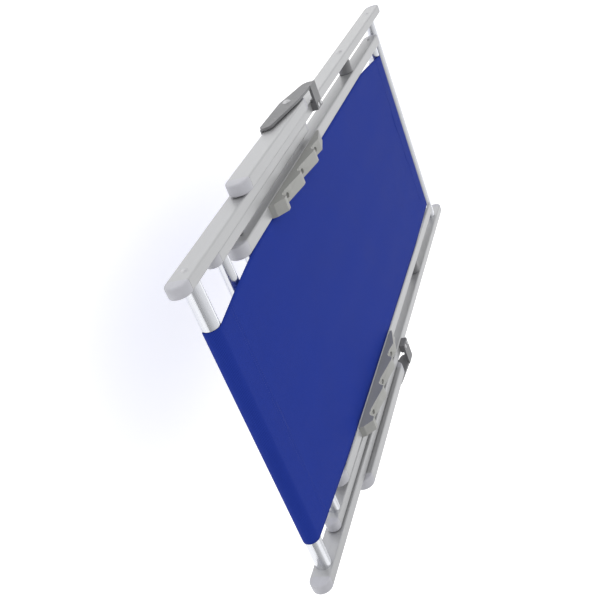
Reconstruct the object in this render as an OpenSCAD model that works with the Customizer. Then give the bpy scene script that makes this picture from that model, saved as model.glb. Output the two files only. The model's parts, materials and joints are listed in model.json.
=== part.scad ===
// Folding aluminium beach chair with a mesh sling, folded flat.
// X runs across the chair, Y from the head end (-Y) to the foot end (+Y),
// Z from the floor up through the sitting side. Millimetres.

/* [Frame] */
// Width over the outer faces of the back frame's rails
frame_w = 550; // [500:5:620]
// Length of the back frame, end caps included
frame_l = 1250; // [1150:10:1350]
// Thickness of a rail across the chair
rail_w = 18; // [16:1:20]
// Depth of a rail, from the floor to the sitting side
rail_d = 34; // [32:1:36]
// Wall of every rail and tube
wall = 1.5; // [1:0.1:2]
// Radius of the rails' long edges
edge_r = 3; // [2:0.5:4]

/* [Crossbars] */
// Diameter of the head bar and of the seat's front bar
sling_bar_d = 26.5; // [22:0.5:28]
// Diameter of the foot bar
foot_bar_d = 22; // [18:0.5:26]
// Diameter of the prop bar and of the seat's rear bar
prop_bar_d = 20; // [16:0.5:22]

/* [Seat and prop frames] */
// Distance from the head end to the seat frame's rear tips
seat_start = 178; // [170:1:190]
// Distance from the head end to the seat frame's front tips
seat_end = 1166; // [1150:1:1168]
// Distance from the head end to the prop frame's free tips
prop_start = 106; // [98:1:108]
// Thickness of a seat rail across the chair
seat_w = 21; // [18:1:22]
// Thickness of a prop rail across the chair
prop_w = 18; // [16:1:18]
// Depth of a prop rail
prop_d = 24; // [22:1:28]

/* [Pivots] */
// Distance from the head end to the pivot between back and seat frames
fold_y = 906; // [895:1:915]
// Distance from the head end to the pivot of the armrests and the prop frame
arm_y = 552; // [545:1:560]
// Diameter of the pivot bolts
bolt_d = 8; // [6:0.5:8]
// Radial play of a pivot bolt in its holes
play = 0.08; // [0.05:0.01:0.1]

/* [Armrests] */
// Thickness of an armrest across the chair
arm_w = 20; // [18:1:22]
// Depth of an armrest
arm_d = 38; // [34:1:38]
// Distance from the head end to the armrest's tip
arm_start = 240; // [230:1:280]

/* [Racks] */
// Number of rest positions on each rack
notches = 3; // [3:1:3]
// Distance between rest positions
notch_pitch = 87; // [84:1:88]
// Height of the teeth above the rail
tooth_h = 22; // [20:1:24]

/* [Sling] */
// Width of the sling
sling_w = 406; // [390:1:408]
// Thickness of the sling's stand-in panels
sling_t = 1.2; // [1:0.1:1.4]

/* [Hidden] */
$fn = 64;
mid_y = frame_l / 2;
axis_z = rail_d / 2;
// Inner face of each layer of rails, counted from the middle of the chair
side_gap = 2;
back_x = frame_w / 2 - rail_w;
prop_x = back_x - 1 - prop_w;
prop_z = axis_z - prop_d / 2;
seat_x = prop_x - 9 - seat_w;
arm_x = frame_w / 2 + side_gap;
strap_x = arm_x + arm_w + 2.5;
strap_t = 4.5;
// Crossbars, counted from the head end
head_bar_y = 45;
foot_bar_y = 1181;
prop_bar_y = 142;
rear_bar_y = seat_start + 42;
front_bar_y = seat_end - 36;
// End caps and the spigots that hold them in the rails
spigot_l = 11;
stub_l = 6;
spigot_play = 0.25;
prop_end_y = arm_y + 30;
arm_tail = 34;
arm_z = 5;
// Racks
rack_start = 300;
first_notch_y = 340;
last_notch_y = first_notch_y + (notches - 1) * notch_pitch;
rack_end = last_notch_y + 80;
seat_r = prop_bar_d / 2 + 0.6;
notch_floor = rail_d + tooth_h / 2;
// Arm brackets; the flange starts where the armrest opened by arm_open just clears it
arm_open = 130;
flange_l = 30;
flange_top = rail_d + 11;
flange_y = arm_y + (arm_z + arm_d - axis_z + 0.5
    - (flange_top - axis_z) * cos(arm_open)) / sin(arm_open);
// Rivets, bolts and washers
rivet_d = 5;
rivet_head_d = 10;
rivet_head_h = 2;
bolt_head_d = 15;
bolt_head_h = 3.4;
nut_d = 13;
nut_h = 4;
screw_d = 4;
face_play = 0.3;
plug_l = 22;

ALU = "#b9bcc1";
BRIGHT = "#d6dade";
PLASTIC = "#a3a4ac";
DARK = "#85868d";
STEEL = "#c7c8ca";
BLUE = "#2b3f96";

// ---- helpers ----

// Puts the children on the right side, or mirrors them to the left
module side(right) {
    mirror([right ? 0 : 1, 0, 0]) children();
}

// Moves a profile drawn in (y from the head end, z) to a slab from x0, t thick
module slab(x0, t) {
    translate([x0, -mid_y, 0])
        rotate([90, 0, 90])
            linear_extrude(t) children();
}

// Cylinder along X, its axis at y from the head end and height z
module rod(x0, x1, y, z, d) {
    translate([x0, y - mid_y, z])
        rotate([0, 90, 0])
            cylinder(h = x1 - x0, d = d);
}

// Rounded rectangle in the XZ plane of a rail, from its corner
module section(w, d, r) {
    translate([r, 0]) square([w - 2 * r, d]);
    translate([0, r]) square([w, d - 2 * r]);
    for (x = [r, w - r], z = [r, d - r])
        translate([x, z]) circle(r);
}

// Hollow rail from y0 to y1 with its inner lower corner at x0, z0
module rail(x0, z0, w, d, y0, y1) {
    translate([x0, y1 - mid_y, z0])
        rotate([90, 0, 0])
            linear_extrude(y1 - y0)
                difference() {
                    section(w, d, edge_r);
                    translate([wall, wall])
                        section(w - 2 * wall, d - 2 * wall, edge_r - wall);
                }
}

// Length of the end cap that shows on a rail of depth d
function cap_l(d) = d / 2 + 3;

// Rounded end cap whose tip is at y_tip; dir points from the tip into the rail
module end_cap(x0, z0, w, d, y_tip, dir, spigot = spigot_l) {
    r = d / 2;
    y_face = y_tip + dir * cap_l(d);
    slab(x0, w) {
        difference() {
            translate([y_tip + dir * r, z0 + r]) circle(r);
            translate([dir > 0 ? y_tip + r : y_tip - 3 * r, z0 - 1]) square([2 * r, d + 2]);
        }
        translate([min(y_tip + dir * r, y_face), z0]) square([cap_l(d) - r, d]);
    }
    inset = wall + spigot_play;
    translate([x0 + inset, (dir > 0 ? y_face - 1 : y_face - spigot) - mid_y, z0 + inset])
        rotate([90, 0, 0])
            mirror([0, 0, 1])
                linear_extrude(spigot + 1)
                    section(w - 2 * inset, d - 2 * inset, edge_r - wall);
}

// Crossbar: a tube between the faces x = -half and x = +half
module crossbar(half, y, d) {
    difference() {
        rod(-half, half, y, axis_z, d);
        rod(-half - 1, half + 1, y, axis_z, d - 2 * wall);
    }
}

// Plugs in both ends of a crossbar, drilled for its rivets
module bar_plugs(half, y, d) {
    for (right = [false, true])
        side(right)
            difference() {
                rod(half - plug_l, half, y, axis_z, d - 2 * wall - 2 * spigot_play);
                rod(half - plug_l - 1, half + 1, y, axis_z, rivet_d + 0.2);
            }
}

// Domed head on the plane x = x0, standing outwards, with its shank
module rivet(x0, y, z, shank_l, head_d, head_h, d) {
    r = (head_d * head_d / 4 + head_h * head_h) / (2 * head_h);
    half = asin(head_d / 2 / r);
    dome = [for (i = [0:8]) let (a = half * (1 - i / 8)) [r * sin(a), head_h - r + r * cos(a)]];
    translate([x0, y - mid_y, z])
        rotate([0, 90, 0])
            rotate_extrude()
                polygon(concat([[0, -shank_l], [d / 2, -shank_l], [d / 2, 0]], dome));
}

module bar_rivets(x_outer, w, y) {
    for (right = [false, true])
        side(right) rivet(x_outer, y, axis_z, w + plug_l - 4, rivet_head_d, rivet_head_h, rivet_d);
}

// Hexagonal nut from x0 to x1 on a bolt's axis
module nut(x0, x1, y, z) {
    difference() {
        translate([x0, y - mid_y, z])
            rotate([0, 90, 0])
                cylinder(h = x1 - x0, d = nut_d, $fn = 6);
        rod(x0 - 1, x1 + 1, y, z, bolt_d + 0.1);
    }
}

module washer(x0, x1, y, z, d) {
    difference() {
        rod(x0, x1, y, z, d);
        rod(x0 - 1, x1 + 1, y, z, bolt_d + 2 * play);
    }
}

// Clearance hole for a pivot bolt
module bolt_hole(x0, x1, y) {
    rod(x0 - 1, x1 + 1, y, axis_z, bolt_d + 2 * play);
}

// ---- back frame ----

module back_rail(right) {
    color(ALU)
        side(right)
            difference() {
                rail(back_x, 0, rail_w, rail_d, cap_l(rail_d), frame_l - cap_l(rail_d));
                bolt_hole(back_x, back_x + rail_w, fold_y);
                bolt_hole(back_x, back_x + rail_w, arm_y);
                for (y = [head_bar_y, foot_bar_y])
                    rod(back_x - 1, back_x + rail_w + 1, y, axis_z, rivet_d + 0.2);
                for (y = bracket_rivet_ys())
                    translate([back_x + rail_w / 2, y - mid_y, rail_d - wall - 1])
                        cylinder(h = wall + 2, d = screw_d + 0.2);
            }
}

module back_cap(right, head) {
    color(PLASTIC)
        side(right)
            if (head) end_cap(back_x, 0, rail_w, rail_d, 0, 1);
            else end_cap(back_x, 0, rail_w, rail_d, frame_l, -1);
}

module pivot_spacer(right) {
    color(DARK)
        side(right)
            washer(seat_x + seat_w + face_play, back_x, fold_y, axis_z, 28);
}

module pivot_bolt(right) {
    color(STEEL)
        side(right)
            rivet(back_x + rail_w, fold_y, axis_z, back_x + rail_w - seat_x + nut_h + 1.5,
                bolt_head_d, bolt_head_h, bolt_d);
}

module pivot_nut(right) {
    color(STEEL)
        side(right) nut(seat_x - face_play - nut_h, seat_x - face_play, fold_y, axis_z);
}

function bracket_rivet_ys() = [flange_y + 8, flange_y + flange_l - 8];

// Outline of the bracket's outer strap, seen from the side
module strap_outline() {
    low = [452, 11];
    high = [flange_y + flange_l - 12, flange_top - 12];
    difference() {
        union() {
            hull() {
                translate(low) circle(11, $fn = 32);
                translate([arm_y, axis_z + 4]) circle(19, $fn = 32);
            }
            hull() {
                translate([arm_y, axis_z + 4]) circle(19, $fn = 32);
                translate(high) circle(12, $fn = 32);
            }
        }
        translate([arm_y, axis_z]) circle(bolt_d / 2 + play);
    }
}

module arm_bracket(right) {
    reach = strap_x + strap_t - back_x - 2;
    color(DARK)
        side(right)
            difference() {
                union() {
                    slab(strap_x, strap_t) strap_outline();
                    // stop under the folded armrest
                    slab(arm_x + 6, strap_x - arm_x - 5) translate([446, 0]) square([12, 3.2]);
                    // flange over the rail, which the open armrest leans on
                    slab(back_x + 2, reach)
                        translate([flange_y, flange_top - 4.5]) square([flange_l, 4.5]);
                    slab(back_x + 2, rail_w - 4)
                        translate([flange_y, rail_d]) square([flange_l, flange_top - rail_d - 1]);
                    slab(frame_w / 2 - 2, 5)
                        translate([flange_y + 4, rail_d]) square([flange_l - 8, flange_top - rail_d - 1]);
                }
                for (y = bracket_rivet_ys())
                    translate([back_x + rail_w / 2, y - mid_y, rail_d - 1])
                        cylinder(h = flange_top - rail_d + 2, d = screw_d + 0.2);
            }
}

module bracket_rivets() {
    color(STEEL)
        for (right = [false, true], y = bracket_rivet_ys())
            side(right)
                translate([back_x + rail_w / 2, y - mid_y, 0]) {
                    translate([0, 0, rail_d - 6])
                        cylinder(h = flange_top - rail_d + 6, d = screw_d);
                    translate([0, 0, flange_top])
                        cylinder(h = 1, d = screw_d * 2);
                }
}

module arm_bolt(right) {
    x_head = strap_x + strap_t;
    color(STEEL)
        side(right)
            rivet(x_head, arm_y, axis_z, x_head - prop_x + nut_h + face_play + 0.8,
                bolt_head_d, bolt_head_h, bolt_d);
}

module arm_nut(right) {
    color(STEEL)
        side(right) nut(prop_x - face_play - nut_h, prop_x - face_play, arm_y, axis_z);
}

module arm_washers() {
    color(PLASTIC)
        for (right = [false, true])
            side(right) {
                washer(frame_w / 2, arm_x - face_play, arm_y, axis_z, 22);
                washer(arm_x + arm_w + face_play, strap_x, arm_y, axis_z, 22);
            }
}

module prop_washers() {
    color(PLASTIC)
        for (right = [false, true])
            side(right) washer(prop_x + prop_w + face_play, back_x, arm_y, axis_z, 24);
}

module head_bar() {
    color(BRIGHT) crossbar(back_x, head_bar_y, sling_bar_d);
}

module foot_bar() {
    color(BRIGHT) crossbar(back_x, foot_bar_y, foot_bar_d);
}

module back_bar_rivets() {
    color(STEEL) {
        bar_rivets(frame_w / 2, rail_w, head_bar_y);
        bar_rivets(frame_w / 2, rail_w, foot_bar_y);
    }
}

module back_bar_plugs() {
    color(DARK) {
        bar_plugs(back_x, head_bar_y, sling_bar_d);
        bar_plugs(back_x, foot_bar_y, foot_bar_d);
    }
}

// Flat panel of the sling and the sleeve round its bar
module sling_part(bar_y, edge_y) {
    sleeve_d = sling_bar_d + 0.7 + 2 * sling_t;
    panel_z = axis_z + sleeve_d / 2 + 0.2;
    color(BLUE) {
        translate([-sling_w / 2, min(bar_y, edge_y) - mid_y, panel_z])
            cube([sling_w, abs(edge_y - bar_y), sling_t]);
        difference() {
            rod(-sling_w / 2 + 3, sling_w / 2 - 3, bar_y, axis_z, sleeve_d);
            rod(-sling_w / 2, sling_w / 2, bar_y, axis_z, sling_bar_d + 0.7);
        }
    }
}

module sling_back() {
    sling_part(head_bar_y, fold_y - 20);
}

// ---- seat frame ----

module seat_rail(right) {
    color(ALU)
        side(right)
            difference() {
                rail(seat_x, 0, seat_w, rail_d, seat_start + cap_l(rail_d), seat_end - cap_l(rail_d));
                bolt_hole(seat_x, seat_x + seat_w, fold_y);
                for (y = [rear_bar_y, front_bar_y])
                    rod(seat_x - 1, seat_x + seat_w + 1, y, axis_z, rivet_d + 0.2);
                for (y = rack_screw_ys())
                    translate([seat_x + seat_w / 2, y - mid_y, rail_d - wall - 1])
                        cylinder(h = wall + 2, d = screw_d + 0.2);
            }
}

module seat_cap(right, rear) {
    color(PLASTIC)
        side(right)
            if (rear) end_cap(seat_x, 0, seat_w, rail_d, seat_start, 1);
            else end_cap(seat_x, 0, seat_w, rail_d, seat_end, -1);
}

function rack_screw_ys() = [for (i = [0:notches - 1]) first_notch_y + 14 + i * notch_pitch];

// Saw-toothed outline: each steep face looks towards the foot end
module rack_outline() {
    top = rail_d + tooth_h;
    teeth = [for (i = [0:notches - 1]) let (y = first_notch_y + i * notch_pitch)
        each [[y - 22, top], [y - 12, notch_floor + seat_r], [y + 8, notch_floor]]];
    difference() {
        polygon(concat(
            [[rack_start, rail_d], [rack_start + 3, rail_d + 8]],
            teeth,
            [[last_notch_y + 34, top - 6], [rack_end, rail_d + 4], [rack_end, rail_d]]));
        for (i = [0:notches - 1])
            translate([first_notch_y + i * notch_pitch, notch_floor + seat_r]) circle(seat_r);
    }
}

module rack(right) {
    color(PLASTIC)
        side(right)
            difference() {
                slab(seat_x, seat_w) rack_outline();
                for (y = rack_screw_ys())
                    translate([seat_x + seat_w / 2, y - mid_y, rail_d - 1]) {
                        cylinder(h = tooth_h + 2, d = screw_d + 0.2);
                        translate([0, 0, 9]) cylinder(h = tooth_h, d = screw_d * 2.2);
                    }
            }
}

module rack_screws() {
    color(STEEL)
        for (right = [false, true], y = rack_screw_ys())
            side(right)
                translate([seat_x + seat_w / 2, y - mid_y, rail_d - 8]) {
                    cylinder(h = 16.5, d = screw_d);
                    translate([0, 0, 16]) cylinder(h = 2.2, d = screw_d * 2);
                }
}

module seat_front_bar() {
    color(BRIGHT) crossbar(seat_x, front_bar_y, sling_bar_d);
}

module seat_rear_bar() {
    color(BRIGHT) crossbar(seat_x, rear_bar_y, prop_bar_d);
}

module seat_bar_rivets() {
    color(STEEL) {
        bar_rivets(seat_x + seat_w, seat_w, rear_bar_y);
        bar_rivets(seat_x + seat_w, seat_w, front_bar_y);
    }
}

module seat_bar_plugs() {
    color(DARK) {
        bar_plugs(seat_x, rear_bar_y, prop_bar_d);
        bar_plugs(seat_x, front_bar_y, sling_bar_d);
    }
}

module sling_seat() {
    sling_part(front_bar_y, fold_y + 20);
}

// ---- prop frame ----

module prop_rail(right) {
    color(ALU)
        side(right)
            difference() {
                rail(prop_x, prop_z, prop_w, prop_d,
                    prop_start + cap_l(prop_d), prop_end_y - cap_l(prop_d));
                bolt_hole(prop_x, prop_x + prop_w, arm_y);
                rod(prop_x - 1, prop_x + prop_w + 1, prop_bar_y, axis_z, rivet_d + 0.2);
            }
}

module prop_cap(right) {
    color(DARK)
        side(right) end_cap(prop_x, prop_z, prop_w, prop_d, prop_start, 1);
}

module prop_end_cap(right) {
    color(DARK)
        side(right) end_cap(prop_x, prop_z, prop_w, prop_d, prop_end_y, -1, stub_l);
}

module prop_bar() {
    color(BRIGHT) crossbar(prop_x, prop_bar_y, prop_bar_d);
}

module prop_bar_rivets() {
    color(STEEL)
        for (right = [false, true])
            side(right)
                rod(prop_x - plug_l + 4, prop_x + prop_w + 0.4, prop_bar_y, axis_z, rivet_d);
}

module prop_bar_plugs() {
    color(DARK) bar_plugs(prop_x, prop_bar_y, prop_bar_d);
}

// ---- armrests ----

module arm_tube(right) {
    color(ALU)
        side(right)
            difference() {
                rail(arm_x, arm_z, arm_w, arm_d,
                    arm_start + cap_l(arm_d), arm_y + arm_tail - cap_l(arm_d));
                bolt_hole(arm_x, arm_x + arm_w, arm_y);
            }
}

module arm_cap(right) {
    color(PLASTIC)
        side(right) end_cap(arm_x, arm_z, arm_w, arm_d, arm_start, 1);
}

module arm_end_cap(right) {
    color(DARK)
        side(right) end_cap(arm_x, arm_z, arm_w, arm_d, arm_y + arm_tail, -1, stub_l);
}

// ---- build ----

back_rail(false);  // back_rail_left
back_rail(true);  // back_rail_right
head_bar();
foot_bar();
back_cap(false, true);  // head_cap_left
back_cap(true, true);  // head_cap_right
back_cap(false, false);  // foot_cap_left
back_cap(true, false);  // foot_cap_right
pivot_spacer(false);  // pivot_spacer_left
pivot_spacer(true);  // pivot_spacer_right
pivot_bolt(false);  // pivot_bolt_left
pivot_bolt(true);  // pivot_bolt_right
pivot_nut(false);  // pivot_nut_left
pivot_nut(true);  // pivot_nut_right
arm_bracket(false);  // arm_bracket_left
arm_bracket(true);  // arm_bracket_right
arm_bolt(false);  // arm_bolt_left
arm_bolt(true);  // arm_bolt_right
arm_nut(false);  // arm_nut_left
arm_nut(true);  // arm_nut_right
arm_washers();
prop_washers();
bracket_rivets();
back_bar_rivets();
back_bar_plugs();
sling_back();
seat_rail(false);  // seat_rail_left
seat_rail(true);  // seat_rail_right
seat_front_bar();
seat_rear_bar();
seat_cap(false, true);  // seat_rear_cap_left
seat_cap(true, true);  // seat_rear_cap_right
seat_cap(false, false);  // seat_front_cap_left
seat_cap(true, false);  // seat_front_cap_right
rack(false);  // rack_left
rack(true);  // rack_right
rack_screws();
seat_bar_rivets();
seat_bar_plugs();
sling_seat();
prop_rail(false);  // prop_rail_left
prop_rail(true);  // prop_rail_right
prop_bar();
prop_cap(false);  // prop_cap_left
prop_cap(true);  // prop_cap_right
prop_end_cap(false);  // prop_end_cap_left
prop_end_cap(true);  // prop_end_cap_right
prop_bar_rivets();
prop_bar_plugs();
arm_tube(false);  // arm_tube_left
arm_tube(true);  // arm_tube_right
arm_cap(false);  // arm_cap_left
arm_cap(true);  // arm_cap_right
arm_end_cap(false);  // arm_end_cap_left
arm_end_cap(true);  // arm_end_cap_right
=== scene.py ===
"""Finishes and soft parts of the folding aluminium beach chair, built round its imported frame."""

import json
import math

import bmesh
import bpy
import numpy as np
from mathutils import Matrix, Vector


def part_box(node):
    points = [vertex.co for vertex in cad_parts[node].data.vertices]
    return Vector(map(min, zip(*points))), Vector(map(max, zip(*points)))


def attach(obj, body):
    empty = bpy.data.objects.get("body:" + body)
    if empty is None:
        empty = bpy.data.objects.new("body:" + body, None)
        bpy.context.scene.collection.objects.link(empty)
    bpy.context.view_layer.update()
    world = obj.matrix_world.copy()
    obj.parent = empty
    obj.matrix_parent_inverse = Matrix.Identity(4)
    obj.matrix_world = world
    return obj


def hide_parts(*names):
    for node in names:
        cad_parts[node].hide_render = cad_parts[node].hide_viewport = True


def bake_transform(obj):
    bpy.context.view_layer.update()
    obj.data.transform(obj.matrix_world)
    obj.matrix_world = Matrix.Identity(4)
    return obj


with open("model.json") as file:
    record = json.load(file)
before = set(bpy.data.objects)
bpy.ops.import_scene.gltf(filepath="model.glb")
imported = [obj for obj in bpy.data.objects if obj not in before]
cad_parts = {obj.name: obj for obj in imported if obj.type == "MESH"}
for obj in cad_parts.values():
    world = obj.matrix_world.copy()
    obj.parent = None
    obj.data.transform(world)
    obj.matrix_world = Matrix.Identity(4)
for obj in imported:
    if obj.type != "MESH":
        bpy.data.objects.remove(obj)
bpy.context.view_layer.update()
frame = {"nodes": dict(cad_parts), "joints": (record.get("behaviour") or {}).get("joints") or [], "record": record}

MM = 0.001
SIDES = ("left", "right")
scene = bpy.context.scene
nodes = frame["nodes"]
joints = {joint["name"]: joint for joint in frame["joints"]}
slot_of = {part["node"]: part["material_slot"] for part in frame["record"]["subparts"]}
body_of = {
    name: body
    for body, names in frame["record"]["behaviour"]["bodies"].items()
    for name in names
}


# ---------------------------------------------------------------- camera


def place_camera():
    """Looks down the folded chair from beyond its head end, turned on its side."""
    right = Vector((0.34217, 0.26112, 0.90263))
    up = Vector((-0.82532, 0.54273, 0.15586))
    back = Vector((-0.44919, -0.79829, 0.40121))
    camera = bpy.data.objects.new("camera", bpy.data.cameras.new("camera"))
    camera.data.sensor_width = 36.0
    camera.data.lens = 52.96
    camera.data.clip_start = 0.05
    camera.data.clip_end = 200.0
    camera.matrix_world = Matrix.Translation((-0.69185, -1.44581, 0.58656)) @ (
        Matrix((right, up, back)).transposed().to_4x4()
    )
    scene.collection.objects.link(camera)
    scene.camera = camera


place_camera()


# ---------------------------------------------------------------- shader maths


class Value:
    """A shader socket that Python arithmetic works on; each operation adds a Math node."""

    def __init__(self, finish, socket):
        self.finish = finish
        self.socket = socket

    def math(self, operation, *others):
        return self.finish.node(
            "ShaderNodeMath", {"operation": operation}, dict(enumerate((self, *others)))
        )

    def __add__(self, other):
        return self.math("ADD", other)

    __radd__ = __add__

    def __mul__(self, other):
        return self.math("MULTIPLY", other)

    def __sub__(self, other):
        return self.math("SUBTRACT", other)

    def __rsub__(self, other):
        return self.finish.node(
            "ShaderNodeMath", {"operation": "SUBTRACT"}, {0: other, 1: self}
        )

    def __abs__(self):
        return self.math("ABSOLUTE")

    def sine(self):
        return self.math("SINE")

    def most(self, other):
        return self.math("MAXIMUM", other)

    def ramp(self, low, high):
        """0 below low, 1 above high, smooth between."""
        return self.finish.node(
            "ShaderNodeMapRange",
            {"interpolation_type": "SMOOTHSTEP"},
            {"Value": self, "From Min": low, "From Max": high},
        )


class Nodes:
    """Adds nodes to a shader tree; its main shader is named."""

    def __init__(self, tree, shader):
        self.tree = tree
        self.shader = tree.nodes[shader]

    def node(self, kind, settings=None, inputs=None, output=0):
        made = self.tree.nodes.new(kind)
        for key, value in (settings or {}).items():
            setattr(made, key, value)
        for key, value in (inputs or {}).items():
            self.feed(made.inputs[key], value)
        return Value(self, made.outputs[output])

    def feed(self, socket, value):
        if isinstance(value, Value):
            self.tree.links.new(value.socket, socket)
        else:
            socket.default_value = value

    def set(self, **values):
        for key, value in values.items():
            self.feed(self.shader.inputs[key.replace("_", " ")], value)


class Finish(Nodes):
    """One Principled material and the nodes that drive it."""

    def __init__(self, name, **fixed):
        self.material = bpy.data.materials.new(name)
        self.material.use_nodes = True
        super().__init__(self.material.node_tree, "Principled BSDF")
        self.set(**fixed)

    def place(self, scale=(1.0, 1.0, 1.0)):
        """Object coordinates in metres, stretched by scale."""
        where = self.node("ShaderNodeTexCoord", output="Object")
        return self.node("ShaderNodeMapping", None, {"Vector": where, "Scale": scale})

    def noise(self, where, scale, detail=2.0, roughness=0.5):
        return self.node(
            "ShaderNodeTexNoise",
            None,
            {"Vector": where, "Scale": scale, "Detail": detail, "Roughness": roughness},
        )

    def mix(self, factor, first, second):
        return self.node(
            "ShaderNodeMix",
            {"data_type": "RGBA"},
            {"Factor": factor, "A": first, "B": second},
            "Result",
        )

    def bump(self, height, strength, distance):
        return self.node(
            "ShaderNodeBump",
            None,
            {"Height": height, "Strength": strength, "Distance": distance},
        )


def shade(colour, amount):
    """The colour made lighter or darker by amount, with its alpha."""
    return (*[min(1.0, c * amount) for c in colour], 1.0)


# ---------------------------------------------------------------- finishes

DIE_LINES_PER_METRE = 520.0


def extruded_aluminium(name, colour, along, roughness, metallic=1.0, scuffs=0.5):
    """Drawn or extruded metal: fine die lines along one axis, soft blotches, a few scuffs."""
    finish = Finish(name, Metallic=metallic, IOR=1.6)
    stretch = [DIE_LINES_PER_METRE] * 3
    stretch[along] = 3.0
    lines = finish.noise(finish.place(stretch), 1.0, 3.0, 0.6)
    blotch = finish.noise(finish.place(), 14.0, 4.0, 0.55)
    grain = finish.noise(finish.place(), 2600.0, 1.0)
    coarser = finish.place([s / 6 for s in stretch])
    nick = finish.noise(coarser, 1.6, 2.0, 0.7).ramp(0.66, 0.76)
    marks = nick * finish.noise(finish.place(), 26.0).ramp(0.52, 0.7) * scuffs
    tone = lines * 0.45 + blotch * 0.35 + grain * 0.2
    clean = finish.mix(tone, shade(colour, 0.86), shade(colour, 1.12))
    finish.set(
        Base_Color=finish.mix(marks, clean, shade(colour, 0.7)),
        Roughness=roughness + (lines - 0.5) * 0.12 + (blotch - 0.5) * 0.16 + marks * 0.12,
        Normal=finish.bump(lines * 0.7 + grain * 0.3 - marks, 0.32, 0.00008),
    )
    return finish.material


def moulded_plastic(name, colour, roughness, grain_size=1500.0):
    """Nylon from a spark-eroded mould: fine grain, faint flow marks, paler rubbed patches."""
    finish = Finish(name, IOR=1.52)
    grain = finish.noise(finish.place(), grain_size, 2.0, 0.6)
    flow = finish.noise(finish.place((6.0, 2.0, 12.0)), 6.0, 3.0)
    rubbed = finish.noise(finish.place(), 60.0, 3.0, 0.65).ramp(0.52, 0.74)
    clean = finish.mix(flow * 0.7 + grain * 0.3, shade(colour, 0.86), shade(colour, 1.14))
    finish.set(
        Base_Color=finish.mix(rubbed * 0.3, clean, shade(colour, 1.25)),
        Roughness=roughness + (grain - 0.5) * 0.18 - rubbed * 0.08,
        Normal=finish.bump(grain, 0.3, 0.00012),
    )
    return finish.material


def plated_steel(name, colour):
    """Zinc-plated fasteners: soft crystalline variation and a little dulling."""
    finish = Finish(name, Metallic=1.0)
    crystals = finish.node(
        "ShaderNodeTexVoronoi", None, {"Vector": finish.place(), "Scale": 1400.0}, "Distance"
    )
    dull = finish.noise(finish.place(), 240.0, 3.0)
    tone = dull * 0.6 + crystals * 0.4
    finish.set(
        Base_Color=finish.mix(tone, shade(colour, 0.84), shade(colour, 1.1)),
        Roughness=0.32 + dull * 0.2,
        Normal=finish.bump(crystals, 0.12, 0.00006),
    )
    return finish.material


YARN_PITCH = 1.9 * MM
PALE_DUST = (0.12, 0.15, 0.4)


def mesh_fabric(name, colour):
    """Open plain weave of PVC-coated yarn, laid out on the cloth's own UV map in metres. The gaps between yarns
    are painted shade and the yarn crowns carry a painted highlight.
    """
    finish = Finish(name, IOR=1.45, Specular_IOR_Level=0.02)
    uv = finish.node("ShaderNodeTexCoord", output="UV")
    u = finish.node("ShaderNodeSeparateXYZ", None, {0: uv}, "X")
    v = finish.node("ShaderNodeSeparateXYZ", None, {0: uv}, "Y")
    across = (u * (math.pi / YARN_PITCH)).sine()
    along = (v * (math.pi / YARN_PITCH)).sine()
    over = across * along
    warp = abs(across) * (0.62 + over * 0.38)
    weft = abs(along) * (0.62 - over * 0.38)
    height = warp.most(weft)
    # 1 on the yarns, 0 in the gaps between them, which are painted shade
    yarn = height.ramp(0.12, 0.5)
    where = finish.place()
    dye = finish.noise(where, 9.0, 4.0, 0.55)
    slub = finish.noise(finish.place((60.0, 900.0, 60.0)), 1.0, 2.0)
    dust = finish.noise(where, 34.0, 5.0, 0.7).ramp(0.5, 0.8)
    coated = finish.mix(dye * 0.6 + slub * 0.4, shade(colour, 0.84), shade(colour, 1.16))
    # painted highlight: the crowns of the yarns lighten up to 1.35 of the cloth colour
    lit = finish.mix(height.ramp(0.55, 1.0) * 0.35, coated, shade(colour, 1.35))
    # real dust specks laid over the cloth colour with its painted crown highlight
    dust_and_highlight = finish.mix(dust * 0.03, lit, (*PALE_DUST, 1.0))
    finish.set(
        # painted shade: the gaps between yarns take a dark blue at 0.3 of the cloth colour
        Base_Color=finish.mix(yarn, shade(colour, 0.3), dust_and_highlight),
        Roughness=0.52 + (dye - 0.5) * 0.12 + (1 - yarn) * 0.3 + dust * 0.08,
        Normal=finish.bump(height + slub * 0.15, 0.55, 0.00028),
    )
    return finish.material


def thread_finish(name, colour):
    """Twisted polyester sewing thread."""
    finish = Finish(name, Roughness=0.6)
    twist = finish.noise(finish.place((900.0, 2600.0, 900.0)), 1.0, 2.0)
    finish.set(
        Base_Color=finish.mix(twist, shade(colour, 0.7), shade(colour, 1.4)),
        Normal=finish.bump(twist, 0.4, 0.0001),
    )
    return finish.material


def studio_paper(name):
    """Matt white paper, lit a little from within so that shadows on it stay faint."""
    finish = Finish(name, Emission_Color=(1.0, 1.0, 1.0, 1.0), Emission_Strength=0.5)
    fibre = finish.noise(finish.place(), 300.0, 3.0)
    wash = finish.noise(finish.place(), 0.8, 2.0)
    finish.set(
        Base_Color=finish.mix(
            fibre * 0.5 + wash * 0.5, (0.8, 0.8, 0.8, 1.0), (0.86, 0.86, 0.86, 1.0)
        ),
        Roughness=0.8 + fibre * 0.1,
    )
    return finish.material


RAIL_GREY = (0.425, 0.427, 0.432)
TUBE_SILVER = (0.66, 0.67, 0.7)
CAP_GREY = (0.41, 0.41, 0.44)
RACK_GREY = (0.29, 0.29, 0.275)
BRACKET_GREY = (0.135, 0.135, 0.14)
STEEL = (0.5, 0.5, 0.51)
ROYAL_BLUE = (0.016, 0.036, 0.26)

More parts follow.
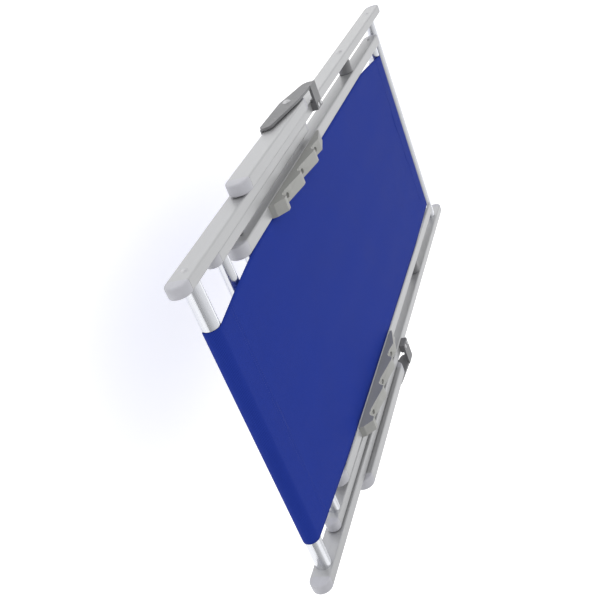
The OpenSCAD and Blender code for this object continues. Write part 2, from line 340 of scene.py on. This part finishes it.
RAIL_AXIS, CROSS_AXIS = 1, 0
finishes = {
    "rail_aluminium": extruded_aluminium(
        "satin_rail_aluminium", RAIL_GREY, RAIL_AXIS, 0.42, 0.55
    ),
    "bright_tube": extruded_aluminium(
        "bright_drawn_tube", TUBE_SILVER, CROSS_AXIS, 0.24, 1.0, 0.3
    ),
    "grey_plastic": moulded_plastic("moulded_grey_nylon", CAP_GREY, 0.5),
    "dark_plastic": moulded_plastic("moulded_dark_nylon", BRACKET_GREY, 0.46, 1200.0),
    "fastener_steel": plated_steel("zinc_plated_steel", STEEL),
    "sling_fabric": mesh_fabric("blue_mesh_fabric", ROYAL_BLUE),
}
thread = thread_finish("blue_thread", ROYAL_BLUE)
rack_nylon = moulded_plastic("moulded_rack_nylon", RACK_GREY, 0.5)

for node_name, node_object in nodes.items():
    node_object.data.materials.clear()
    node_object.data.materials.append(finishes[slot_of[node_name]])


# ---------------------------------------------------------------- making pieces


def smooth_to(mesh, degrees):
    """Smooth shading, broken at edges sharper than the angle."""
    mesh.shade_smooth()
    mesh.set_sharp_from_angle(angle=math.radians(degrees))


def finished(name, mesh, degrees):
    """Object for a mesh that is already in place, shaded smooth up to an angle."""
    piece = bpy.data.objects.new(name, mesh)
    scene.collection.objects.link(piece)
    smooth_to(mesh, degrees)
    return piece


def as_mesh(form, name):
    """Turns the working form into a mesh and lets the form go."""
    mesh = bpy.data.meshes.new(name)
    form.to_mesh(mesh)
    form.free()
    return mesh


def stands_for(piece, node, finish=None):
    """The piece takes the node's place, body and finish, or wears one of its own."""
    piece.data.materials.clear()
    piece.data.materials.append(finish or finishes[slot_of[node]])
    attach(piece, body_of[node])
    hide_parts(node)


# ---------------------------------------------------------------- end caps

CAP_SHANK = 3 * MM
CAP_EDGE = 3 * MM
CAP_ARC_POINTS = 25
CAP_ROLL_POINTS = 6
SEAM = 0.5 * MM
SPIGOT = {"pivot_end": 6 * MM, "end": 11 * MM}
SPIGOT_INSET = 1.75 * MM


def end_cap(node, tip_at_head, spigot):
    """Half-round cap with its edges rolled over to the rail's corner radius, and its spigot."""
    low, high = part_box(node)
    radius = (high.z - low.z) / 2
    middle = (high.z + low.z) / 2
    inward = 1 if tip_at_head else -1
    tip = low.y if tip_at_head else high.y
    centre = tip + inward * radius
    face = centre + inward * CAP_SHANK
    turns = np.linspace(-math.pi / 2, math.pi / 2, CAP_ARC_POINTS)

    def outline(inset):
        """Side view, drawn in by inset, with a small chamfer where it meets the rail."""
        reach = radius - inset
        arc = [
            (centre - inward * reach * math.cos(a), middle + reach * math.sin(a)) for a in turns
        ]
        near, lip = face - inward * SEAM, reach - SEAM * 0.7
        return [
            (face, middle - lip),
            (near, middle - reach),
            *arc,
            (near, middle + reach),
            (face, middle + lip),
        ]

    rolls = np.linspace(0, math.pi / 2, CAP_ROLL_POINTS)
    half = [(CAP_EDGE * (1 - math.cos(a)), CAP_EDGE * (1 - math.sin(a))) for a in rolls]
    layers = [(low.x + x, inset) for x, inset in half]
    layers += [(high.x - x, inset) for x, inset in reversed(half)]
    form = bmesh.new()
    rings = [[form.verts.new((x, y, z)) for y, z in outline(inset)] for x, inset in layers]
    for one, two in zip(rings, rings[1:]):
        for i in range(len(one) - 1):
            form.faces.new((one[i], one[i + 1], two[i + 1], two[i]))
    form.faces.new(rings[0])
    form.faces.new(rings[-1])
    back = form.faces.new([r[0] for r in rings] + [r[-1] for r in reversed(rings)])
    bmesh.ops.recalc_face_normals(form, faces=form.faces[:])
    bmesh.ops.inset_individual(form, faces=[back], thickness=SPIGOT_INSET)
    pulled = bmesh.ops.extrude_face_region(form, geom=[back])
    moved = [v for v in pulled["geom"] if isinstance(v, bmesh.types.BMVert)]
    bmesh.ops.translate(form, verts=moved, vec=(0, inward * spigot, 0))
    bmesh.ops.delete(form, geom=[back], context="FACES_ONLY")
    bmesh.ops.recalc_face_normals(form, faces=form.faces[:])
    name = f"{node}_moulding"
    stands_for(finished(name, as_mesh(form, name), 50), node)


for side in SIDES:
    for kind, tip_at_head, place in (
        ("head_cap", True, "end"),
        ("foot_cap", False, "end"),
        ("seat_rear_cap", True, "end"),
        ("seat_front_cap", False, "end"),
        ("prop_cap", True, "end"),
        ("prop_end_cap", False, "pivot_end"),
        ("arm_cap", True, "end"),
        ("arm_end_cap", False, "pivot_end"),
    ):
        end_cap(f"{kind}_{side}", tip_at_head, SPIGOT[place])


# ---------------------------------------------------------------- moulded parts


def softened(node, radius, finish=None):
    """The node's own shape with its sharp edges rounded, as it leaves the mould."""
    form = bmesh.new()
    form.from_mesh(nodes[node].data)
    bmesh.ops.remove_doubles(form, verts=form.verts[:], dist=2e-6)
    bmesh.ops.dissolve_limit(
        form, angle_limit=math.radians(1), verts=form.verts[:], edges=form.edges[:]
    )
    bmesh.ops.recalc_face_normals(form, faces=form.faces[:])
    name = f"{node}_moulding"
    piece = finished(name, as_mesh(form, name), 40)
    bevel = piece.modifiers.new("rounded edges", "BEVEL")
    bevel.width = radius
    bevel.segments = 3
    bevel.limit_method = "ANGLE"
    bevel.angle_limit = math.radians(30)
    bevel.use_clamp_overlap = True
    stands_for(piece, node, finish)


for side in SIDES:
    softened(f"rack_{side}", 1.1 * MM, rack_nylon)
    softened(f"arm_bracket_{side}", 1.2 * MM)
    softened(f"pivot_spacer_{side}", 1.0 * MM)


# ---------------------------------------------------------------- node trees


def node_tree(name, sizes, build):
    """Geometry node tree with a path in, named sizes, and one geometry out."""
    tree = bpy.data.node_groups.new(name, "GeometryNodeTree")

    def socket(label, way, kind):
        tree.interface.new_socket(label, in_out=way, socket_type=f"NodeSocket{kind}")

    socket("Path", "INPUT", "Geometry")
    for label in sizes:
        socket(label, "INPUT", "Float")
    socket("Material", "INPUT", "Material")
    socket("Geometry", "OUTPUT", "Geometry")

    def node(kind, settings=None, inputs=None):
        made = tree.nodes.new(kind)
        for key, value in (settings or {}).items():
            setattr(made, key, value)
        for key, value in (inputs or {}).items():
            if isinstance(value, bpy.types.NodeSocket):
                tree.links.new(value, made.inputs[key])
            else:
                made.inputs[key].default_value = value
        return made

    start = node("NodeGroupInput").outputs
    shapes = build(node, start)
    plain = node("GeometryNodeRealizeInstances", None, {0: shapes}).outputs[0]
    wear = {0: plain, "Material": start["Material"]}
    dressed = node("GeometryNodeSetMaterial", None, wear).outputs[0]
    node("NodeGroupOutput", None, {0: dressed})
    return tree


def plain_mesh(piece):
    """The piece's mesh as its modifiers leave it."""
    bpy.context.view_layer.update()
    ready = piece.evaluated_get(bpy.context.evaluated_depsgraph_get())
    return bpy.data.meshes.new_from_object(ready)


def grown(name, tree, points, edges, sizes, material):
    """Runs a node tree on a path and returns the result as a plain mesh object."""
    path = bpy.data.meshes.new(name)
    path.from_pydata([tuple(p) for p in points], edges, [])
    seed = bpy.data.objects.new(name, path)
    scene.collection.objects.link(seed)
    maker = seed.modifiers.new("maker", "NODES")
    maker.node_group = tree
    given = {**sizes, "Material": material}
    for item in tree.interface.items_tree:
        if item.in_out == "INPUT" and item.name in given:
            maker[item.identifier] = given[item.name]
    mesh = plain_mesh(seed)
    seed.modifiers.remove(maker)
    seed.data = mesh
    bpy.data.meshes.remove(path)
    mesh.name = name
    smooth_to(mesh, 40)
    return seed


# ---------------------------------------------------------------- rack screws

HEAD_RADIUS = 4 * MM
HEAD_HEIGHT = 2.2 * MM
SHANK_RADIUS = 2 * MM
HEAD_SIDES = 32
SCREW_GAP = 20 * MM
CROWN = 0.1 * MM


def screw_head(radius, height):
    """Pan head with a cross recess, standing on z = 0; the profile is in shares of its size."""
    form = bmesh.new()
    turns = np.linspace(0, 2 * math.pi, HEAD_SIDES + 1)[:-1]
    profile = [(1.0, 0.0), (1.0, 0.35), (0.9, 0.75), (0.68, 1.0)]
    rings = [
        [
            form.verts.new((radius * r * math.cos(a), radius * r * math.sin(a), height * z))
            for a in turns
        ]
        for r, z in profile
    ]
    for one, two in zip(rings, rings[1:]):
        for i in range(HEAD_SIDES):
            j = (i + 1) % HEAD_SIDES
            form.faces.new((one[i], one[j], two[j], two[i]))
    form.faces.new(list(reversed(rings[0])))
    arm, half = radius * 0.5, radius * 0.12
    cross = [
        *((arm, -half), (arm, half), (half, half), (half, arm), (-half, arm), (-half, half)),
        *((-arm, half), (-arm, -half), (-half, -half), (-half, -arm), (half, -arm), (half, -half)),
    ]
    corners = len(cross)
    brim = [form.verts.new((x, y, height)) for x, y in cross]
    floor = [form.verts.new((x * 0.8, y * 0.8, height * 0.35)) for x, y in cross]
    edges = [form.edges.new((brim[i], brim[(i + 1) % corners])) for i in range(corners)]
    top = rings[-1]
    edges += [form.edges.get((top[i], top[(i + 1) % HEAD_SIDES])) for i in range(HEAD_SIDES)]
    bmesh.ops.triangle_fill(form, use_beauty=True, use_dissolve=False, edges=edges)
    for i in range(corners):
        j = (i + 1) % corners
        form.faces.new((brim[j], brim[i], floor[i], floor[j]))
    form.faces.new(floor)
    bmesh.ops.recalc_face_normals(form, faces=form.faces[:])
    return bpy.data.objects.new("screw_head", as_mesh(form, "screw_head"))


def screw_seats(points, head_top):
    """Where each head stands, from the crowns of the heads on both racks."""
    crown = points[points[:, 2] > head_top - CROWN]
    seats = []
    for sign in (-1, 1):
        own = crown[crown[:, 0] * sign > 0]
        groups = []
        for y in np.sort(own[:, 1]):
            if not groups or y - groups[-1][-1] > SCREW_GAP:
                groups.append([])
            groups[-1].append(y)
        x = (own[:, 0].min() + own[:, 0].max()) / 2
        seats += [(x, (g[0] + g[-1]) / 2, head_top - HEAD_HEIGHT) for g in groups]
    return seats


def make_rack_screws():
    """Six screws: a shank each, and a head with a cross recess."""
    node = "rack_screws"
    points = np.array([tuple(v.co) for v in nodes[node].data.vertices])
    head_top = points[:, 2].max()
    head = screw_head(HEAD_RADIUS, HEAD_HEIGHT)

    def build(add, given):
        heads = add("GeometryNodeObjectInfo", None, {"Object": head})
        radius, length = given["Shank radius"], given["Shank length"]
        size = {"Vertices": 20, "Radius": radius, "Depth": length}
        shank = add("GeometryNodeMeshCylinder", None, size)
        half_down = add("ShaderNodeMath", {"operation": "MULTIPLY"}, {0: length, 1: -0.5})
        drop = add("ShaderNodeCombineXYZ", None, {"Z": half_down.outputs[0]})
        move = {"Geometry": shank.outputs["Mesh"], "Translation": drop.outputs[0]}
        lowered = add("GeometryNodeTransform", None, move)
        both = add("GeometryNodeJoinGeometry")
        for piece in (lowered.outputs[0], heads.outputs["Geometry"]):
            both.id_data.links.new(piece, both.inputs[0])
        copies = {"Points": given["Path"], "Instance": both.outputs[0]}
        return add("GeometryNodeInstanceOnPoints", None, copies).outputs[0]

    tree = node_tree("screws_at_points", ("Shank radius", "Shank length"), build)
    shank_length = (head_top - points[:, 2].min()) - HEAD_HEIGHT
    sizes = {"Shank radius": SHANK_RADIUS, "Shank length": shank_length}
    seats = screw_seats(points, head_top)
    screws = grown("rack_pan_screws", tree, seats, [], sizes, finishes[slot_of[node]])
    bpy.data.objects.remove(head)
    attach(screws, body_of[node])
    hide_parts(node)


make_rack_screws()


# ---------------------------------------------------------------- sling

CLOTH = 0.8 * MM
SLEEVE_PLAY = 0.15 * MM
STITCH_LINE = 38 * MM
HEM = 12 * MM
HALF_WIDTH = 207.3 * MM
PULL_LEFT = 20 * MM
PULL_RIGHT = 7 * MM
PULL_LENGTH = 190 * MM
PULL_CURVE = 1.25
# A sleeve's lower layer is narrower at each edge; the two counts are points from the hem's end.
TUCK = 14 * MM
TUCK_ENDS = 26
TUCK_FADE = 16
FREE_FROM_BAR = 90 * MM
SAG = 1.3 * MM
LONG_SWELL = 0.35 * MM
WIDE_SWELL = 0.25 * MM
SLEEVE_TURNS = 45
PANEL_STEPS = 112
CLOTH_COLUMNS = 49


def bar_centre(node):
    low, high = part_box(node)
    return (low.y + high.y) / 2, (low.z + high.z) / 2, (high.z - low.z) / 2


def sleeve_path(bar_y, bar_z, radius, towards):
    """Points of one sleeve from the hem's end to the top of the bar.

    towards is the Y direction from the bar to the sling's middle.
    """
    reach = radius + SLEEVE_PLAY + CLOTH / 2
    meet = Vector((STITCH_LINE, reach - CLOTH))
    distance = meet.length
    lean = math.atan2(meet.y, meet.x)
    low_turn = lean - math.acos(reach / distance)
    points = [(STITCH_LINE + HEM * (1 - t), meet.y) for t in np.linspace(0, 1, 4)[:-1]]
    touch = Vector((math.cos(low_turn), math.sin(low_turn))) * reach
    points += [tuple(meet.lerp(touch, t)) for t in np.linspace(0, 1, 7)[:-1]]
    round_bar = 2 * math.pi - (math.pi / 2 - low_turn)
    turns = np.linspace(low_turn, low_turn - round_bar, SLEEVE_TURNS)
    points += [(math.cos(a) * reach, math.sin(a) * reach) for a in turns]
    return [(bar_y + towards * y, bar_z + z) for y, z in points]


head_y, bar_z, head_r = bar_centre("head_bar")
front_y, _, front_r = bar_centre("seat_front_bar")
head_sleeve = sleeve_path(head_y, bar_z, head_r, 1)
front_sleeve = sleeve_path(front_y, bar_z, front_r, -1)
panel_z = head_sleeve[-1][1]
panel = [(y, panel_z) for y in np.linspace(head_y, front_y, PANEL_STEPS + 2)[1:-1]]
path = np.array(head_sleeve + panel + front_sleeve[::-1])
run = np.concatenate([[0], np.cumsum(np.linalg.norm(np.diff(path, axis=0), axis=1))])
first_panel = len(head_sleeve)
last_panel = first_panel + len(panel)


def free_span(y):
    """0 at either bar, 1 away from both."""
    share = np.clip(np.minimum(y - head_y, front_y - y) / FREE_FROM_BAR, 0, 1)
    return share**2 * (3 - 2 * share)


def edges_at(y):
    """Left and right edge of the cloth: the sides draw in beside each bar."""
    gap = np.clip(np.minimum(y - head_y, front_y - y), 0, None)
    pull = np.clip(1 - gap / PULL_LENGTH, 0, 1) ** PULL_CURVE
    return -HALF_WIDTH + PULL_LEFT * pull, HALF_WIDTH - PULL_RIGHT * pull


def rise(x, y):
    """Gentle unevenness of the stretched cloth: a shallow sag and lengthwise swells."""
    sag = -SAG * np.cos(x / HALF_WIDTH * math.pi / 2)
    swell = LONG_SWELL * np.sin(x * 62 + 3.0 * y) + WIDE_SWELL * np.sin(x * 27 - 5.0 * y + 1.3)
    return free_span(y) * (sag + swell)


def turned_under(i):
    """1 on a sleeve's lower layer, falling to 0 part of the way round its bar."""
    from_end = min(i, len(path) - 1 - i)
    return float(np.clip((TUCK_ENDS - from_end) / TUCK_FADE, 0, 1)) ** 0.8


def sling_rows(share):
    """The cloth's points, one row across it for each point of its path."""
    rows = []
    for i, (y, z) in enumerate(path):
        left, right = edges_at(y)
        left, right = left + TUCK * turned_under(i), right - TUCK * turned_under(i)
        xs = left + (right - left) * share
        lift = rise(xs, y) if first_panel <= i < last_panel else np.zeros_like(xs)
        rows.append(np.stack([xs, np.full_like(xs, y), z + lift], axis=1))
    return rows


def make_sling():
    """One cloth from hem to hem, with its UV map in metres along and across it."""
    count = CLOTH_COLUMNS
    share = np.linspace(0, 1, count)
    rows = sling_rows(share)
    faces = [
        (r * count + c, r * count + c + 1, (r + 1) * count + c + 1, (r + 1) * count + c)
        for r in range(len(rows) - 1)
        for c in range(count - 1)
    ]
    mesh = bpy.data.meshes.new("sling")
    mesh.from_pydata([tuple(v) for v in np.concatenate(rows)], [], faces)
    layer = mesh.uv_layers.new(name="cloth")
    for loop in mesh.loops:
        row, column = divmod(loop.vertex_index, count)
        layer.data[loop.index].uv = (2 * HALF_WIDTH * share[column], run[row])
    cloth = finished("sling", mesh, 80)
    solid = cloth.modifiers.new("cloth thickness", "SOLIDIFY")
    solid.thickness = CLOTH
    solid.offset = 0.0
    thick = plain_mesh(cloth)
    cloth.modifiers.remove(solid)
    cloth.data = thick
    thick.materials.append(finishes["sling_fabric"])
    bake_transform(cloth)
    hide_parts("sling_back", "sling_seat")
    return cloth


sling = make_sling()


# ---------------------------------------------------------------- seams

STITCH_PITCH = 3.6 * MM
STITCH_LENGTH = 2.7 * MM
THREAD = 0.55 * MM
SEAM_ROWS = (2 * MM, 8 * MM)
SEAM_END_GAP = 3 * MM
SEAM_POINTS = 60


def build_stitches(add, given):
    """Beads of thread spaced evenly along the path."""
    line = add("GeometryNodeMeshToCurve", None, {0: given["Path"]})
    spacing = {0: line.outputs[0], "Length": given["Pitch"]}
    even = add("GeometryNodeResampleCurve", {"mode": "LENGTH"}, spacing)
    ball = add("GeometryNodeMeshUVSphere", None, {"Segments": 6, "Rings": 4, "Radius": 0.5})
    lengths = {"X": given["Length"], "Y": given["Thread"], "Z": given["Thread"]}
    size = add("ShaderNodeCombineXYZ", None, lengths)
    shape = {"Geometry": ball.outputs["Mesh"], "Scale": size.outputs[0]}
    bead = add("GeometryNodeTransform", None, shape)
    tangent = {"Vector": add("GeometryNodeInputTangent").outputs[0]}
    turned = add("FunctionNodeAlignRotationToVector", {"axis": "X"}, tangent)
    copies = {
        "Points": even.outputs[0],
        "Instance": bead.outputs[0],
        "Rotation": turned.outputs[0],
    }
    return add("GeometryNodeInstanceOnPoints", None, copies).outputs[0]


stitch_tree = node_tree("stitch_rows", ("Pitch", "Length", "Thread"), build_stitches)


def make_seam(name, body, bar_y, towards):
    """Two rows of lockstitch that close a sleeve, seen on both faces of the cloth."""
    points, edges = [], []
    bedded = THREAD * 0.15
    for distance in SEAM_ROWS:
        y = bar_y + towards * (STITCH_LINE + distance)
        left, right = edges_at(y)
        xs = np.linspace(left + SEAM_END_GAP, right - SEAM_END_GAP, SEAM_POINTS)
        for lift in (CLOTH / 2 + bedded, -CLOTH * 1.5 - bedded):
            first = len(points)
            points += [(x, y, panel_z + rise(x, y) + lift) for x in xs]
            edges += [(first + i, first + i + 1) for i in range(len(xs) - 1)]
    sizes = {"Pitch": STITCH_PITCH, "Length": STITCH_LENGTH, "Thread": THREAD}
    seam = grown(name, stitch_tree, points, edges, sizes, thread)
    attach(seam, body)
    return seam


seams = [
    make_seam("head_sleeve_stitches", "back_frame", head_y, 1),
    make_seam("front_sleeve_stitches", "seat_frame", front_y, -1),
]


# ---------------------------------------------------------------- studio

FLOOR_GAP = 12 * MM
FLOOR_HALF = 40.0
SQUARE = ((-1, -1), (1, -1), (1, 1), (-1, 1))


def make_floor():
    """Pale paper below the lowest point that the foot end reaches when the chair opens."""
    pivot = Vector(joints["frame_fold"]["pos_m"])
    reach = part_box("foot_cap_left")[1].y - pivot.y
    floor_z = pivot.z - reach - FLOOR_GAP
    corners = [(x * FLOOR_HALF, y * FLOOR_HALF, floor_z) for x, y in SQUARE]
    mesh = bpy.data.meshes.new("studio_floor")
    mesh.from_pydata(corners, [], [(0, 1, 2, 3)])
    floor = finished("studio_floor", mesh, 35)
    floor.data.materials.append(studio_paper("studio_paper"))


def light_studio():
    """A sky that brightens upwards and three soft lamps."""
    world = bpy.data.worlds.new("studio")
    scene.world = world
    world.use_nodes = True
    sky = Nodes(world.node_tree, "Background")
    towards = sky.node("ShaderNodeTexCoord", output="Generated")
    x, y, z = (sky.node("ShaderNodeSeparateXYZ", None, {0: towards}, axis) for axis in "XYZ")
    sky.set(Color=(0.985, 0.99, 1.0, 1.0), Strength=0.68 + z * 0.34 + y * 0.28 - x * 0.1)

    def softbox(name, place, size, power):
        """Lamp of a width and height in metres and a power in watts, aimed at the chair."""
        lamp = bpy.data.lights.new(name, "AREA")
        lamp.shape = "RECTANGLE"
        lamp.size, lamp.size_y = size
        lamp.energy = power
        box = bpy.data.objects.new(name, lamp)
        box.location = place
        box.rotation_euler = (-Vector(place)).to_track_quat("-Z", "Y").to_euler()
        scene.collection.objects.link(box)

    softbox("key_light", (-1.6, -1.2, 2.6), (2.4, 2.4), 22.0)
    softbox("fill_light", (2.6, -0.6, 1.6), (2.0, 2.0), 7.0)
    softbox("far_light", (1.7, 3.1, 1.6), (3.0, 2.0), 9.0)
    scene.view_settings.view_transform = "Standard"


make_floor()
light_studio()
